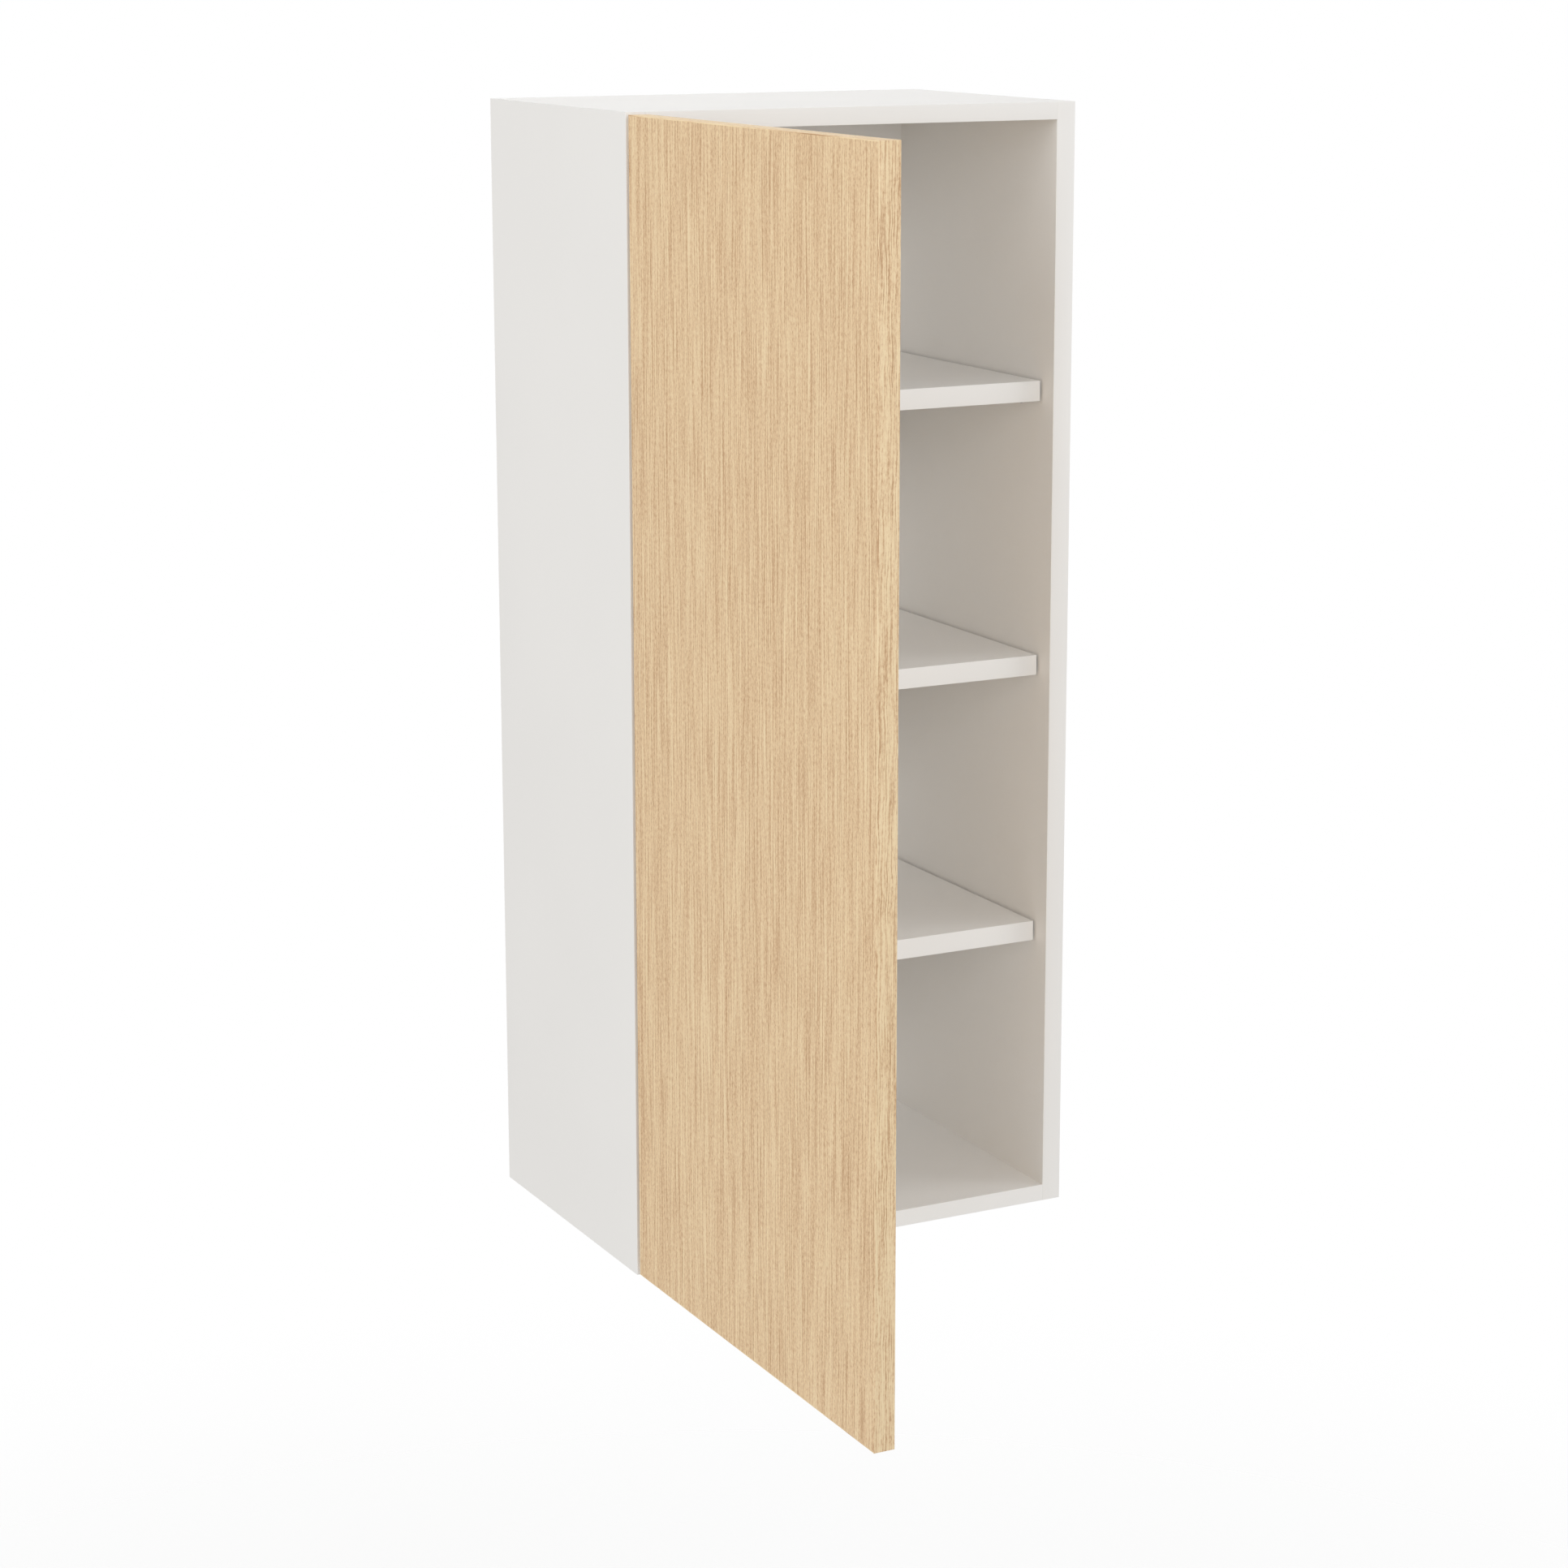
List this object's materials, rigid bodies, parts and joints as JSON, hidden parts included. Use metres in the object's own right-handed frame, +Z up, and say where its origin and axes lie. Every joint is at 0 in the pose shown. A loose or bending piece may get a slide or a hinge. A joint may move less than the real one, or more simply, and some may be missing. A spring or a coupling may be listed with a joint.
{
  "type": "hanging wall cabinet",
  "caption": "Tall narrow wall-hung cabinet: white carcass, open shelves inside, and a full-height light oak door on concealed left-hand hinges.",
  "frame": {"origin": "the middle of the cabinet's width, in the wall's plane, at the level of its underside", "axes": "+X to the right of someone who faces the cabinet, +Y into the wall, +Z up"},
  "size_m": [0.4506, 0.7539, 1.05],
  "materials": {
    "melamine": "white melamine-faced board, fine pearl texture",
    "back_board": "white foil on thin board",
    "white_edge": "white edge band, satin",
    "zinc": "die-cast zinc",
    "steel": "zinc-plated steel",
    "nickel": "nickel-plated steel",
    "beech": "turned beech",
    "chipboard": "raw chipboard",
    "oak_face": "light oak, fine straight grain, matt",
    "oak_edge": "light oak edge band, bolder grain",
    "rubber": "soft translucent bumper"
  },
  "bodies": {
    "carcass": {"side_left": "melamine", "side_right": "melamine", "top_panel": "melamine", "bottom_panel": "melamine", "shelf_1": "melamine", "shelf_2": "melamine", "shelf_3": "melamine", "back_panel": "back_board", "edge_band_left": "white_edge", "edge_band_right": "white_edge", "edge_band_top": "white_edge", "edge_band_bottom": "white_edge", "shelf_band_1": "white_edge", "shelf_band_2": "white_edge", "shelf_band_3": "white_edge", "cams_top": "zinc", "cams_bottom": "zinc", "cam_bolts": "steel", "shelf_pins_1": "steel", "shelf_pins_2": "steel", "shelf_pins_3": "steel", "hanger_left": "steel", "hanger_right": "steel", "hanger_screws": "steel", "hinge_plate_screws": "steel", "hinge_clamp_screws": "steel", "hinge_arm_1": "nickel", "hinge_arm_2": "nickel", "hinge_arm_3": "nickel", "hinge_plate_1": "nickel", "hinge_plate_2": "nickel", "hinge_plate_3": "nickel", "dowels": "beech"},
    "door": {"door_core": "chipboard", "door_face_outer": "oak_face", "door_face_inner": "oak_face", "door_band_hinge": "oak_edge", "door_band_free": "oak_edge", "door_band_top": "oak_edge", "door_band_bottom": "oak_edge", "door_bumpers": "rubber", "hinge_cup_1": "nickel", "hinge_cup_2": "nickel", "hinge_cup_3": "nickel", "hinge_cup_screws": "steel", "hinge_pins": "steel"}
  },
  "joints": [
    {"name": "door_hinge", "type": "hinge", "parent": "carcass", "child": "door", "pos_m": [-0.21702, -0.3134, 0.525], "axis": [0, 0, 1], "range_deg": [-5, 90]}
  ]
}
